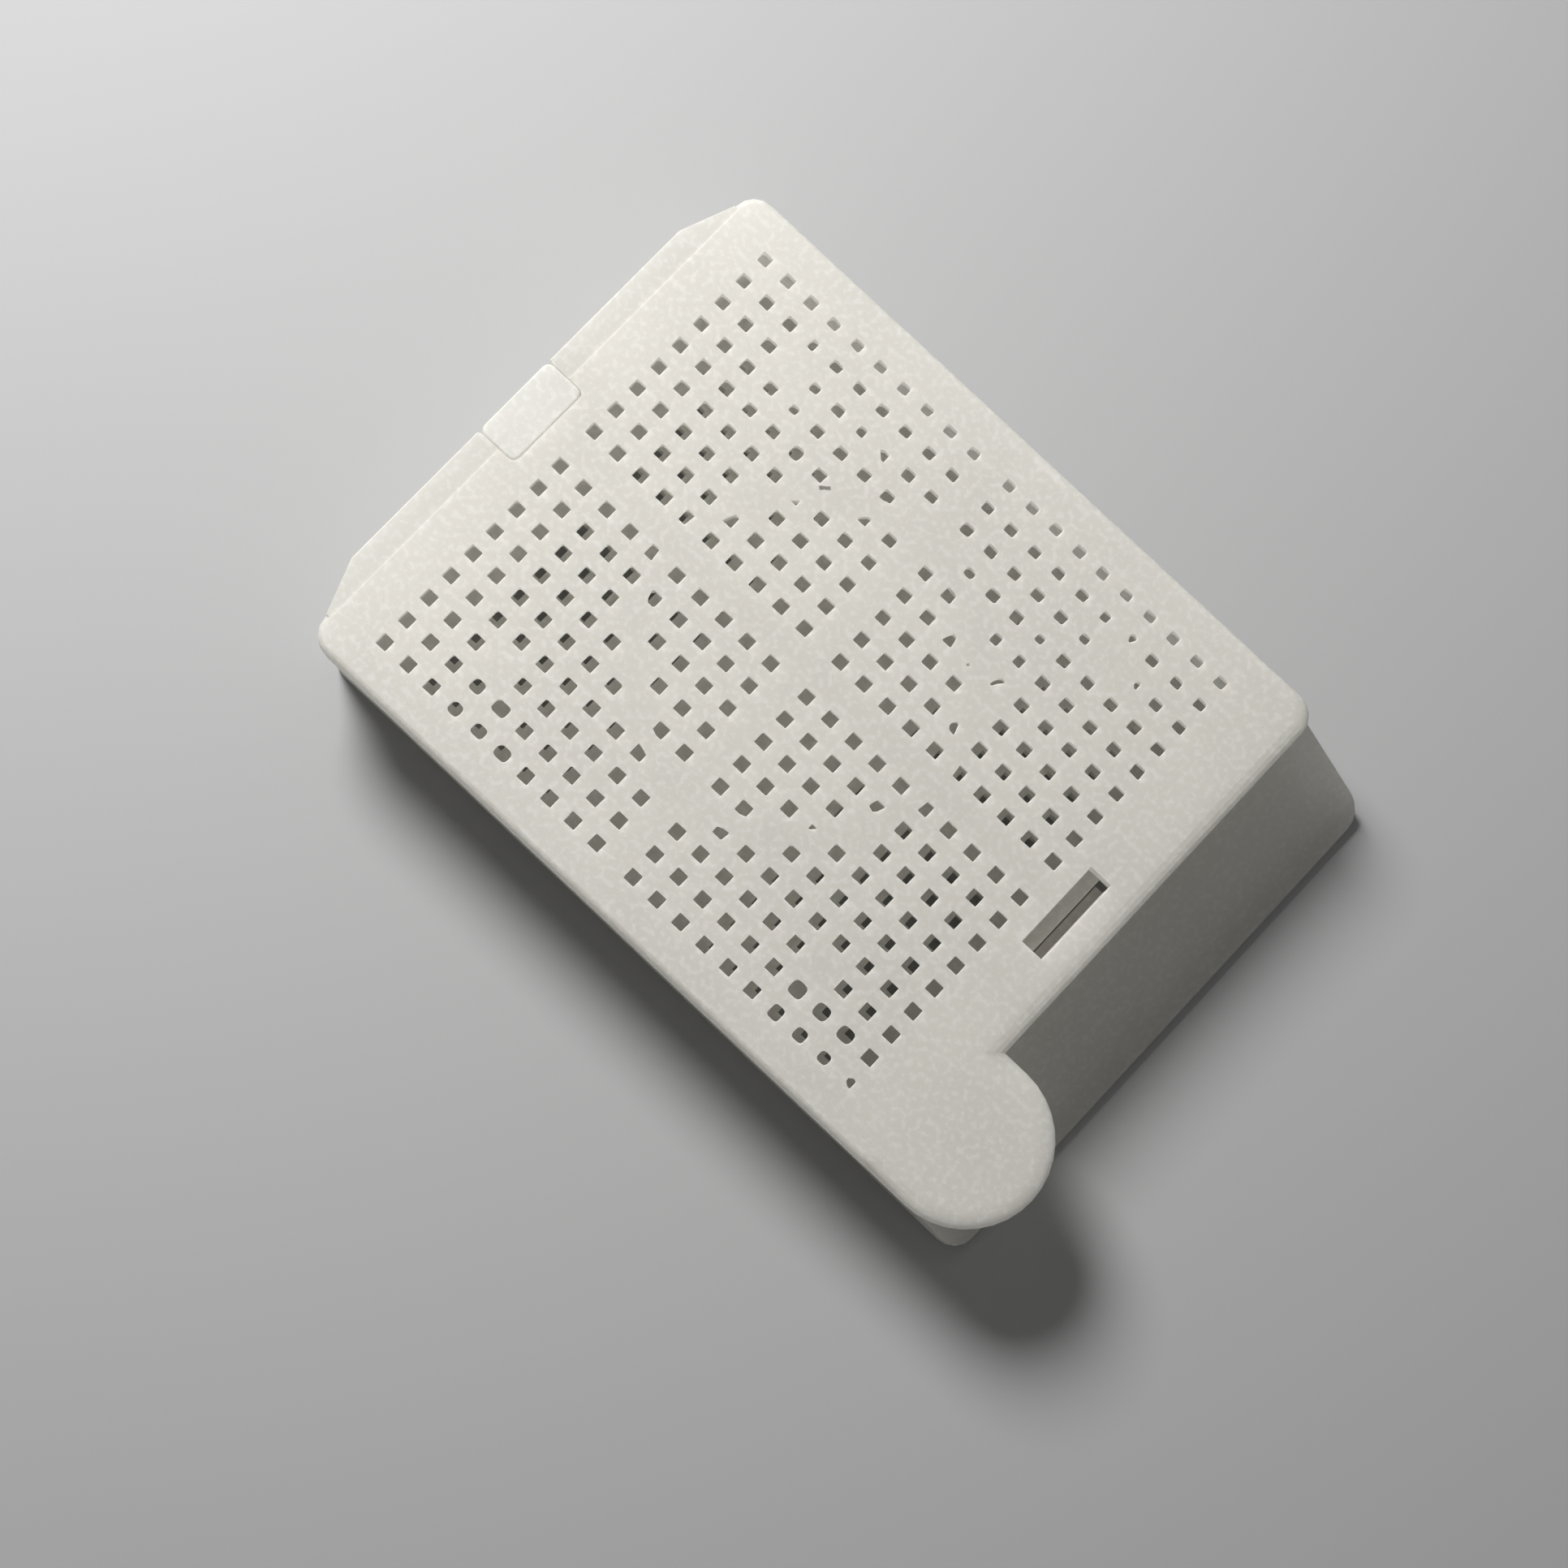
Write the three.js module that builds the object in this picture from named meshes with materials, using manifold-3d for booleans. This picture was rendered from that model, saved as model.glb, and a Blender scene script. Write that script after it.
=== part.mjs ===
// Tissue cassette: a perforated tray with a sloping writing face, and a perforated lid that
// turns on two pegs at the rear and snaps shut at the front. Both are acetal mouldings.
//
// Millimetres. X runs from the hinge to the writing face, Y across, Z up from the surface
// that the cassette stands on. Shapes are drawn about the centre of the hole pattern, and
// the finished group is moved so that its box is centred on the origin.

import * as THREE from "three";
import { mergeGeometries, mergeVertices } from "three/addons/utils/BufferGeometryUtils.js";
import Module from "manifold-3d";

const wasm = await Module();
wasm.setup();

// ---------------------------------------------------------------- driving dimensions

// Whole cassette
const closedHeight = 6.6;
const seatGap = 0.2; // lid to tray, where one rests on the other
const runGap = 0.1; // lid to hinge post, seen from above

// Tray
const trayLength = 30.4; // inside
const trayWidth = 25.9; // inside
const trayCornerRadius = 0.9;
const sideWall = 0.95;
const rearWall = 1.1;
const frontWall = 0.75;
const floorThickness = 0.8;
const floorFillet = 0.3;
const footHeight = 0.2;
const footInset = 0.25; // how far the recess under the floor reaches below the walls
const baseRearRadius = 1.0;
const baseFrontRadius = 1.1;
const bottomEdgeRadius = 0.35;

// Writing face
const writingRun = 5.1; // length of the slope, seen from above
const frontLip = 0.5; // upright edge below the slope
const writingWall = 1.1;
const deckThickness = 1.0;
const slopeEdgeRadius = 0.25;

// Lid
const lidThickness = 0.8;
const rimHeight = 1.2;
const lidOverhang = 0.35; // past the tray's sides
const lidEndOverhang = 0.3; // past the tray's two ends
const frontRimWidth = 1.1;
const lidCornerRadius = 1.15;
const lidEdgeRadius = 0.35;
const crownWidth = 0.9; // the front edge and the tab fall off over this width

// Strip along the lid's rear edge
const stripDepth = 1.0;
const stripDrop = 0.04; // below the lid's top
const stripEndSetback = 1.25; // from the lid's sides to the strip's inner ends
const stripMitre = 2.65; // how far the ends draw in towards the rear
const stripUndercut = 0.5;
const stripEdgeRadius = 0.1;

// Thumb tab on the lid's front corner
const tabRadius = 3.87;
const tabNeck = 1.3; // straight length before the round end
const tabThickness = 1.2;
const tabUnderRadius = 0.15;

// Hole pattern: four quarters of square holes, about a blank cross
const holeSide = 0.6;
const pitchX = 1.423;
const pitchY = 1.379;
const middleGapX = 2.165; // centre to centre across the blank cross
const middleGapY = 2.186;
const holeMargin = 0.8; // last hole's centre to the tray wall, at least
const floorMargin = 1.5; // the same in the tray's floor
const floorShiftX = 0.27; // the floor's pattern stands off the lid's
const floorShiftY = -0.45;
const ejectorHole = { column: 6, row: 6 }; // left blank in every quarter
const clippedHole = { column: 3, row: 3 }; // the ring leaves its inner corner, in two quarters
const ringRadius = 7.75;
const ringWidth = 0.8;
const ribWidth = 0.7;
const ribSetback = 0.05; // ribs stop this far above the rim's underside

// The mould is worn. Flash narrows the lid's holes of the +Y half, more in each row outwards
const flashWidth = 0.01; // along X, per row
const flashHeight = 0.016; // along Y, per row

// Bent and broken pins left single holes uneven: larger at the -Y edge, part closed at +Y
const unevenHoles = [
  { end: -1, side: -1, column: 5, row: 7, width: 0.75, height: 0.62, corner: 0.2 },
  { end: -1, side: -1, column: 6, row: 7, width: 0.62, height: 0.62, corner: 0.2 },
  { end: -1, side: -1, column: 4, row: 8, width: 0.73, height: 0.6, corner: 0.22 },
  { end: -1, side: -1, column: 5, row: 8, width: 0.67, height: 0.56, corner: 0.2 },
  { end: -1, side: -1, column: 6, row: 8, width: 0.62, height: 0.6, corner: 0.22 },
  { end: 1, side: -1, column: 6, row: 7, width: 0.74, height: 0.73, corner: 0.25 },
  { end: 1, side: -1, column: 7, row: 7, width: 0.74, height: 0.69, corner: 0.25 },
  { end: 1, side: -1, column: 8, row: 7, width: 0.75, height: 0.66, corner: 0.25 },
  { end: 1, side: -1, column: 6, row: 8, width: 0.6, height: 0.67, corner: 0.2 },
  { end: 1, side: -1, column: 7, row: 8, width: 0.6, height: 0.6, corner: 0.2 },
  { end: 1, side: -1, column: 8, row: 8, width: 0.55, height: 0.52, corner: 0.2 },
  { end: 1, side: -1, column: 9, row: 8, width: 0.46, height: 0.4, corner: 0.15 },
  { end: 1, side: 1, column: 4, row: 3, width: 0.22, height: 0.5, corner: 0.08 },
  { end: 1, side: 1, column: 4, row: 5, width: 0.42, height: 0.36, corner: 0.1 },
  { end: 1, side: 1, column: 5, row: 6, width: 0.42, height: 0.4, corner: 0.1 },
  { end: 1, side: 1, column: 6, row: 7, width: 0.35, height: 0.38, corner: 0.12 },
  { end: 1, side: 1, column: 7, row: 6, width: 0.3, height: 0.43, corner: 0.12 },
  { end: -1, side: 1, column: 3, row: 6, width: 0.39, height: 0.4, corner: 0.1 },
  { end: -1, side: 1, column: 5, row: 5, width: 0.42, height: 0.38, corner: 0.1 },
  { end: -1, side: 1, column: 6, row: 7, width: 0.36, height: 0.47, corner: 0.12 },
];

// Hinge
const hingeOffset = -0.2; // post and latch stand this far off the centre line
const postWidth = 4.4;
const postSetback = 0.25; // from the rear wall's inner face
const postCornerRadius = 0.35;
const postTopRadius = 0.1;
const postRoot = 0.95; // its upright rear face, below the tray's top
const corbelHeight = 1.4;
const axisInset = 0.6; // from the strip's rear edge
const axisDrop = 0.75; // below the lid's top
const pegRadius = 0.3;
const pegReach = 0.35; // into the post
const pegClearance = 0.1;

// Latch
const slotLength = 4.5;
const slotWidth = 1.17;
const slotSetback = 0.08; // from the front wall's inner face
const hookSideGap = 0.15;
const hookThickness = 0.6;
const hookTipWidth = 0.3;
const barbGap = 0.1; // barb to front wall, where the snap would be
const catchDrop = 0.75; // from the front wall's top to the barb's catching face
const barbHeight = 0.9; // from the catching face to the hook's tip
const barbNose = 0.2; // height of the barb's blunt end
const barbRake = 0.05; // fall of the catching face towards it
const windowGap = 0.3; // hook to window
const windowWall = 0.4; // from the window to the top of the slope

// ---------------------------------------------------------------- derived places

const innerX = trayLength / 2;
const innerY = trayWidth / 2;
const baseHalfWidth = innerY + sideWall;
const lidHalfWidth = baseHalfWidth + lidOverhang;

const baseRearX = -innerX - rearWall;
const lidRearX = baseRearX - lidEndOverhang;
const stripRearX = lidRearX - stripDepth;
const bossRearX = stripRearX + lidEndOverhang;
const rearRimX = (lidRearX - innerX) / 2; // middle of the lid's rear rim
const stripLongHalf = lidHalfWidth - stripEndSetback;
const stripShortHalf = stripLongHalf - stripMitre;

const frontWallX = innerX + frontWall;
const slotRearX = innerX + slotSetback;
const slotFrontX = slotRearX + slotWidth;
const hookFrontX = slotFrontX + hookThickness;
const windowFrontX = hookFrontX + windowGap;
const slopeTopX = windowFrontX + windowWall;
const lidFrontX = slopeTopX + lidEndOverhang;
const baseFrontX = slopeTopX + writingRun;
const tabCentreX = lidFrontX + tabNeck;
const tabTipX = tabCentreX + tabRadius;

const lidTop = closedHeight;
const lidUnder = lidTop - lidThickness;
const rimUnder = lidTop - rimHeight;
const plateMiddle = lidTop - lidThickness / 2;
const deckTop = rimUnder - seatGap;
const deckUnder = deckTop - deckThickness;
const frontWallTop = lidUnder - seatGap;
const floorTop = footHeight + floorThickness;

const postRearX = stripRearX;
const postFrontX = -innerX - postSetback;
const axisX = stripRearX + axisInset;
const axisZ = lidTop - axisDrop;

const past = 1; // how far a cutting solid reaches past what it cuts
const bury = 0.25; // how far a joined solid runs into what carries it
const arcSteps = 4;
const smallArcSteps = 3;
const crownSteps = 5;
const tabSteps = 18;
const weldDistance = 1e-5;

// ---------------------------------------------------------------- solids

/** Turns a closed three.js geometry into a solid that can be joined and cut. */
function toSolid(geometry) {
  const bare = geometry.clone();
  bare.deleteAttribute("normal");
  bare.deleteAttribute("uv");
  const merged = mergeVertices(bare, weldDistance);
  return new wasm.Manifold(new wasm.Mesh({
    numProp: 3,
    vertProperties: new Float32Array(merged.attributes.position.array),
    triVerts: new Uint32Array(merged.index.array),
  }));
}

/** Turns a solid into an indexed three.js geometry. */
function toGeometry(solid) {
  const { vertProperties, triVerts } = solid.getMesh();
  const indexed = new THREE.BufferGeometry();
  indexed.setAttribute("position", new THREE.BufferAttribute(vertProperties, 3));
  indexed.setIndex(new THREE.BufferAttribute(triVerts, 1));
  return indexed;
}

const join = (first, ...others) => others.reduce((sum, solid) => sum.add(solid), first);
const cut = (first, ...others) => others.reduce((rest, solid) => rest.subtract(solid), first);

/**
 * Points of a closed outline whose corners, given as [x, y, radius], are rounded. A radius too
 * large for the edges beside its corner is limited to half of the shorter one.
 */
function roundedOutline(corners, steps = arcSteps) {
  const points = [];
  corners.forEach(([x, y, radius = 0], index) => {
    const corner = new THREE.Vector2(x, y);
    if (radius <= 0) {
      points.push(corner);
      return;
    }
    const before = corners[(index + corners.length - 1) % corners.length];
    const after = corners[(index + 1) % corners.length];
    const toBefore = new THREE.Vector2(before[0] - x, before[1] - y);
    const toAfter = new THREE.Vector2(after[0] - x, after[1] - y);
    const shortest = Math.min(toBefore.length(), toAfter.length());
    toBefore.normalize();
    toAfter.normalize();
    const half = Math.acos(THREE.MathUtils.clamp(toBefore.dot(toAfter), -1, 1)) / 2;
    const reach = Math.min(radius / Math.tan(half), shortest / 2);
    const bisector = toBefore.clone().add(toAfter).normalize();
    const centre = corner.clone().addScaledVector(bisector, reach / Math.cos(half));
    const start = toBefore.multiplyScalar(reach).add(corner).sub(centre);
    const end = toAfter.multiplyScalar(reach).add(corner).sub(centre);
    const turn = Math.atan2(start.cross(end), start.dot(end));
    for (let step = 0; step <= steps; step += 1) {
      const arm = start.clone().rotateAround(new THREE.Vector2(), (turn * step) / steps);
      points.push(arm.add(centre));
    }
  });
  return points;
}

/** Corners of a rectangle, in order, with one radius each at its low-X and high-X ends. */
function rectangle(x0, x1, y0, y1, lowRadius = 0, highRadius = lowRadius) {
  return [[x0, y0, lowRadius], [x1, y0, highRadius], [x1, y1, highRadius], [x0, y1, lowRadius]];
}

/** Stands an outline in X and Y up between two heights. */
function prism(outline, z0, z1) {
  const settings = { depth: z1 - z0, bevelEnabled: false };
  const geometry = new THREE.ExtrudeGeometry(new THREE.Shape(outline), settings);
  return toSolid(geometry.translate(0, 0, z0));
}

/** Draws a profile in X and Z across the cassette, from y0 to y1. */
function across(profile, y0, y1) {
  const settings = { depth: y1 - y0, bevelEnabled: false };
  const geometry = new THREE.ExtrudeGeometry(new THREE.Shape(profile), settings);
  return toSolid(geometry.rotateX(Math.PI / 2).translate(0, y1, 0));
}

/** Draws a profile in Y and Z along the cassette, from x0 to x1. */
function along(profile, x0, x1) {
  const settings = { depth: x1 - x0, bevelEnabled: false };
  const geometry = new THREE.ExtrudeGeometry(new THREE.Shape(profile), settings);
  const turn = new THREE.Matrix4().makeBasis(
    new THREE.Vector3(0, 1, 0),
    new THREE.Vector3(0, 0, 1),
    new THREE.Vector3(1, 0, 0),
  );
  return toSolid(geometry.applyMatrix4(turn).translate(x0, 0, 0));
}

/** Skins a stack of outlines, lowest first, that all have the same number of points. */
function loft(layers) {
  const count = layers[0].outline.length;
  const positions = layers.flatMap(({ z, outline }) => outline.flatMap((p) => [p.x, p.y, z]));
  const faces = [];
  for (let layer = 0; layer < layers.length - 1; layer += 1) {
    for (let point = 0; point < count; point += 1) {
      const a = layer * count + point;
      const b = layer * count + ((point + 1) % count);
      faces.push(a, b, b + count, a, b + count, a + count);
    }
  }
  const top = (layers.length - 1) * count;
  THREE.ShapeUtils.triangulateShape(layers[0].outline, []).forEach(([a, b, c]) => faces.push(c, b, a));
  THREE.ShapeUtils.triangulateShape(layers.at(-1).outline, []).forEach(([a, b, c]) => {
    faces.push(top + a, top + b, top + c);
  });
  const geometry = new THREE.BufferGeometry();
  geometry.setAttribute("position", new THREE.Float32BufferAttribute(positions, 3));
  geometry.setIndex(faces);
  return toSolid(geometry);
}

/** How far a round edge of this radius has drawn back, at this depth below its top. */
function roundInset(radius, depth) {
  const left = Math.max(radius - depth, 0);
  return radius - Math.sqrt(radius * radius - left * left);
}

/** Depths at which a round edge of this radius is drawn, from its foot up to its top. */
function roundDepths(radius, steps) {
  return Array.from({ length: steps + 1 }, (_, step) => (
    radius * (1 - Math.sin((Math.PI / 2) * (step / steps)))
  ));
}

/** A round bar across the cassette. */
function barAcross(x, z, radius, y0, y1, sides = 16) {
  const geometry = new THREE.CylinderGeometry(radius, radius, y1 - y0, sides);
  return toSolid(geometry.translate(x, (y0 + y1) / 2, z));
}

/** A ring about the hole pattern's centre. */
function ring(radius, width, z0, z1, sides = 40) {
  const profile = roundedOutline(rectangle(radius - width / 2, radius + width / 2, z0, z1));
  profile.push(profile[0].clone());
  return toSolid(new THREE.LatheGeometry(profile, sides).rotateX(Math.PI / 2));
}

// ---------------------------------------------------------------- hole pattern

/** Distances from the middle of the pattern to its holes, along one axis. */
function holePlaces(gap, pitch, limit) {
  const places = [];
  for (let place = gap / 2; place <= limit; place += pitch) {
    places.push(place);
  }
  return places;
}

/**
 * Holes of the four quarters, with none where the ejector pins pushed, and none on the ring
 * but those that isClipped picks.
 */
function holePattern(margin, isClipped = () => false) {
  const columns = holePlaces(middleGapX, pitchX, innerX - margin);
  const rows = holePlaces(middleGapY, pitchY, innerY - margin);
  const holes = [];
  for (const end of [-1, 1]) {
    for (const side of [-1, 1]) {
      columns.forEach((x, column) => {
        rows.forEach((y, row) => {
          holes.push({ end, side, column, row, x: end * x, y: side * y });
        });
      });
    }
  }
  const isEjector = ({ column, row }) => column === ejectorHole.column && row === ejectorHole.row;
  const isOnRing = ({ x, y }) => Math.abs(Math.hypot(x, y) - ringRadius) < ringWidth / 2;
  return holes.filter((hole) => !isEjector(hole) && (isClipped(hole) || !isOnRing(hole)));
}

/** The pins that leave the holes, as one solid. */
function holePins(holes, z0, z1) {
  const pins = holes.map(({ x, y, width = holeSide, height = holeSide, corner = 0 }) => {
    const plan = rectangle(x - width / 2, x + width / 2, y - height / 2, y + height / 2, corner);
    const outline = roundedOutline(plan, 1);
    const settings = { depth: z1 - z0, bevelEnabled: false };
    return new THREE.ExtrudeGeometry(new THREE.Shape(outline), settings).translate(0, 0, z0);
  });
  return toSolid(mergeGeometries(pins));
}

// ---------------------------------------------------------------- base

/** Side view of the tray and its writing face, corners as [x, z, radius]. */
function baseProfile() {
  return [
    [baseRearX, 0, bottomEdgeRadius],
    [baseFrontX, 0, slopeEdgeRadius],
    [baseFrontX, frontLip, slopeEdgeRadius],
    [slopeTopX, deckTop, slopeEdgeRadius],
    [baseRearX, deckTop],
  ];
}

function baseBody() {
  const plan = rectangle(
    baseRearX, baseFrontX, -baseHalfWidth, baseHalfWidth, baseRearRadius, baseFrontRadius,
  );
  const section = [
    [-baseHalfWidth, 0, bottomEdgeRadius],
    [baseHalfWidth, 0, bottomEdgeRadius],
    [baseHalfWidth, deckTop],
    [-baseHalfWidth, deckTop],
  ];
  return prism(roundedOutline(plan), -past, deckTop + past)
    .intersect(across(roundedOutline(baseProfile(), smallArcSteps), -lidHalfWidth, lidHalfWidth))
    .intersect(along(roundedOutline(section, smallArcSteps), baseRearX - past, baseFrontX + past));
}

/** Thick middle of the rear wall, with mitred ends and a top that clears the turning lid. */
function rearBoss() {
  const longHalf = stripLongHalf - lidEndOverhang;
  const shortHalf = stripShortHalf - lidEndOverhang;
  const rootX = baseRearX + rearWall / 2;
  const plan = [
    [rootX, -longHalf], [rootX, longHalf], [baseRearX, longHalf],
    [bossRearX, shortHalf], [bossRearX, -shortHalf], [baseRearX, -longHalf],
  ];
  const profile = [
    [bossRearX, 0, bottomEdgeRadius],
    [rootX, 0],
    [rootX, deckTop],
    [bossRearX + stripUndercut + stripEdgeRadius, deckTop],
    [bossRearX, deckTop - stripUndercut, stripEdgeRadius],
  ];
  return prism(roundedOutline(plan).reverse(), -past, deckTop + past)
    .intersect(across(roundedOutline(profile, smallArcSteps), -innerY, innerY));
}

/** Post that stands in the lid's notch, with a round top and a corbel behind. */
function hingePost() {
  const low = hingeOffset - postWidth / 2;
  const high = hingeOffset + postWidth / 2;
  const depths = [lidTop - deckTop + postRoot, ...roundDepths(postTopRadius, smallArcSteps)];
  const layers = depths.map((depth) => {
    const inset = roundInset(postTopRadius, depth);
    const plan = rectangle(
      postRearX + inset, postFrontX - inset, low + inset, high - inset, postCornerRadius,
    );
    return { z: lidTop - depth, outline: roundedOutline(plan, smallArcSteps) };
  });
  const corbelTop = layers[0].z;
  const corbel = [
    new THREE.Vector2(bossRearX + bury, corbelTop - corbelHeight),
    new THREE.Vector2(bossRearX + bury, corbelTop + bury),
    new THREE.Vector2(postRearX, corbelTop + bury),
    new THREE.Vector2(postRearX, corbelTop),
    new THREE.Vector2(bossRearX, corbelTop - corbelHeight),
  ].reverse();
  return join(loft(layers), across(corbel, low + postCornerRadius, high - postCornerRadius));
}

/** Sockets in both sides of the post, for the lid's pegs. */
function pegSockets() {
  const depth = pegReach + pegClearance;
  const radius = pegRadius + pegClearance;
  return [-1, 1].map((side) => {
    const face = hingeOffset + (side * postWidth) / 2;
    const ends = [face - side * depth, face + side * past].sort((a, b) => a - b);
    return barAcross(axisX, axisZ, radius, ...ends);
  });
}

/** Space inside the tray, with a small fillet round the floor. */
function trayCavity() {
  const heights = roundDepths(floorFillet, 2).reverse();
  const layers = heights.map((depth) => {
    const inset = roundInset(floorFillet, depth);
    const radius = trayCornerRadius - inset;
    const plan = rectangle(-innerX + inset, innerX - inset, -innerY + inset, innerY - inset, radius);
    return { z: floorTop + depth, outline: roundedOutline(plan) };
  });
  layers.push({ z: lidTop + past, outline: layers.at(-1).outline });
  return loft(layers);
}

/** Shallow recess under the floor, which leaves a foot under the walls. */
function footRecess() {
  const x = innerX + footInset;
  const y = innerY + footInset;
  return prism(roundedOutline(rectangle(-x, x, -y, y, trayCornerRadius)), -past, footHeight);
}

/** Space behind the writing face, open below. */
function writingHollow() {
  const rise = deckTop - frontLip;
  const wallAcross = (writingWall * Math.hypot(rise, writingRun)) / rise;
  const innerAt = (z) => slopeTopX - wallAcross + ((deckTop - z) * writingRun) / rise;
  const profile = [
    new THREE.Vector2(frontWallX, -past),
    new THREE.Vector2(innerAt(frontLip), -past),
    new THREE.Vector2(innerAt(frontLip), frontLip),
    new THREE.Vector2(innerAt(deckUnder), deckUnder),
    new THREE.Vector2(frontWallX, deckUnder),
  ];
  return across(profile, -innerY, innerY);
}

/** Upper part of the front wall, which reaches up inside the lid's rim. */
function frontWallRise() {
  const half = innerY - seatGap;
  const plan = rectangle(innerX, frontWallX, -half, half);
  return prism(roundedOutline(plan), deckTop - bury, frontWallTop);
}

/** Window in the deck, through which the lid's hook passes. */
function latchWindow() {
  const half = slotLength / 2 + windowGap;
  const low = hingeOffset - half;
  const high = hingeOffset + half;
  const plan = rectangle(frontWallX, windowFrontX, low, high, 0, windowGap);
  return prism(roundedOutline(plan, smallArcSteps), deckUnder - past, deckTop + past);
}

/** Pins of the floor's holes. */
function floorPins() {
  const holes = holePattern(floorMargin);
  const shifted = holes.map(({ x, y }) => ({ x: x + floorShiftX, y: y + floorShiftY }));
  return holePins(shifted, footHeight - past, floorTop + past);
}

function baseSolid() {
  return cut(
    join(baseBody(), rearBoss(), hingePost(), frontWallRise()),
    trayCavity(),
    footRecess(),
    writingHollow(),
    latchWindow(),
    floorPins(),
    ...pegSockets(),
  );
}

// ---------------------------------------------------------------- lid

/** How far the crowned front edge has drawn back, at this depth below the lid's top. */
function crownInset(depth) {
  return (roundInset(lidEdgeRadius, depth) * crownWidth) / lidEdgeRadius;
}

/** Plate and rim in one block, with round top edges and a crowned front. */
function lidBlock() {
  const depths = [rimHeight, ...roundDepths(lidEdgeRadius, crownSteps)];
  const layers = depths.map((depth) => {
    const inset = roundInset(lidEdgeRadius, depth);
    const half = lidHalfWidth - inset;
    const radius = lidCornerRadius - inset;
    const plan = rectangle(lidRearX + inset, lidFrontX - crownInset(depth), -half, half, radius);
    return { z: lidTop - depth, outline: roundedOutline(plan) };
  });
  return loft(layers);
}

/** Space under the plate, inside the rim. */
function lidPocket() {
  const plan = rectangle(-innerX, lidFrontX - frontRimWidth, -innerY, innerY, trayCornerRadius);
  return prism(roundedOutline(plan), rimUnder - past, lidUnder);
}

/** Strip along the rear edge, a hair lower, with mitred ends, and undercut to turn freely. */
function rearStrip() {
  const plan = [
    [rearRimX, -stripLongHalf], [rearRimX, stripLongHalf], [lidRearX, stripLongHalf],
    [stripRearX, stripShortHalf], [stripRearX, -stripShortHalf], [lidRearX, -stripLongHalf],
  ];
  const profile = [
    [stripRearX, lidTop - stripDrop, stripEdgeRadius],
    [stripRearX, rimUnder + stripUndercut / 2, stripEdgeRadius],
    [stripRearX + stripUndercut, rimUnder],
    [rearRimX, rimUnder],
    [rearRimX, lidTop - stripDrop],
  ];
  return prism(roundedOutline(plan).reverse(), rimUnder - past, lidTop + past)
    .intersect(across(roundedOutline(profile, 2), -lidHalfWidth, lidHalfWidth));
}

/** D-shaped thumb tab, flush with the lid's top and side. */
function thumbTab() {
  const centreY = -lidHalfWidth + tabRadius;
  const rootX = lidFrontX - lidCornerRadius - bury;
  const rounds = [
    { z: 0, inset: tabUnderRadius },
    { z: tabUnderRadius, inset: 0 },
    ...roundDepths(lidEdgeRadius, crownSteps).map((depth) => (
      { z: tabThickness - depth, inset: crownInset(depth) }
    )),
  ];
  const layers = rounds.map(({ z, inset }) => {
    const radius = tabRadius - inset;
    const outline = [new THREE.Vector2(rootX, centreY - radius)];
    for (let step = 0; step <= tabSteps; step += 1) {
      const angle = -Math.PI / 2 + (Math.PI * step) / tabSteps;
      const arm = new THREE.Vector2(Math.cos(angle), Math.sin(angle)).multiplyScalar(radius);
      outline.push(arm.add(new THREE.Vector2(tabCentreX, centreY)));
    }
    outline.push(new THREE.Vector2(rootX, centreY + radius));
    return { z: lidTop - tabThickness + z, outline };
  });
  return loft(layers);
}

/** Pins of the lid's holes, uneven as the mould left them, and clipped where the ring is. */
function lidPins() {
  const isClipped = ({ end, side, column, row }) => (
    end !== side && column === clippedHole.column && row === clippedHole.row
  );
  const isSame = (hole, other) => ["end", "side", "column", "row"].every(
    (key) => hole[key] === other[key],
  );
  const holes = holePattern(holeMargin, isClipped).map((hole) => {
    const flash = hole.side > 0 ? hole.row : 0;
    const width = holeSide - flashWidth * flash;
    const height = holeSide - flashHeight * flash;
    return { ...hole, width, height, ...unevenHoles.find((other) => isSame(hole, other)) };
  });
  const band = ring(ringRadius, ringWidth, rimUnder - past, lidTop + past * 2);
  return holePins(holes, lidUnder - past, lidTop + past).subtract(band);
}

/** Ring and cross of low ribs under the plate. */
function lidRibs() {
  const low = rimUnder + ribSetback;
  const half = ribWidth / 2;
  const alongX = roundedOutline(rectangle(-innerX + holeMargin, innerX - holeMargin, -half, half));
  const alongY = roundedOutline(rectangle(-half, half, -innerY - bury, innerY + bury));
  return [
    ring(ringRadius, ribWidth, low, plateMiddle),
    prism(alongX, low, plateMiddle),
    prism(alongY, low, plateMiddle),
  ];
}

/** Notch that the hinge post stands in. Its front leans away below, to swing past the post. */
function hingeNotch() {
  const half = postWidth / 2 + runGap;
  const low = hingeOffset - half;
  const high = hingeOffset + half;
  const outlineTo = (frontX) => roundedOutline(
    rectangle(stripRearX - past, frontX, low, high, 0, postCornerRadius + runGap), smallArcSteps,
  );
  const atTop = outlineTo(postFrontX + runGap);
  const below = outlineTo(-innerX + runGap);
  return loft([
    { z: rimUnder - past, outline: below },
    { z: lidUnder, outline: below },
    { z: lidTop, outline: atTop },
    { z: lidTop + past, outline: atTop },
  ]);
}

/** Pegs on both sides of the notch. */
function hingePegs() {
  return [-1, 1].map((side) => {
    const notch = hingeOffset + side * (postWidth / 2 + runGap);
    const ends = [notch - side * (runGap + pegReach), notch + side * past].sort((a, b) => a - b);
    return barAcross(axisX, axisZ, pegRadius, ...ends);
  });
}

/** Slot above the latch. */
function latchSlot() {
  const half = slotLength / 2;
  const plan = rectangle(slotRearX, slotFrontX, hingeOffset - half, hingeOffset + half);
  return prism(roundedOutline(plan), rimUnder - past, lidTop + past);
}

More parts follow.
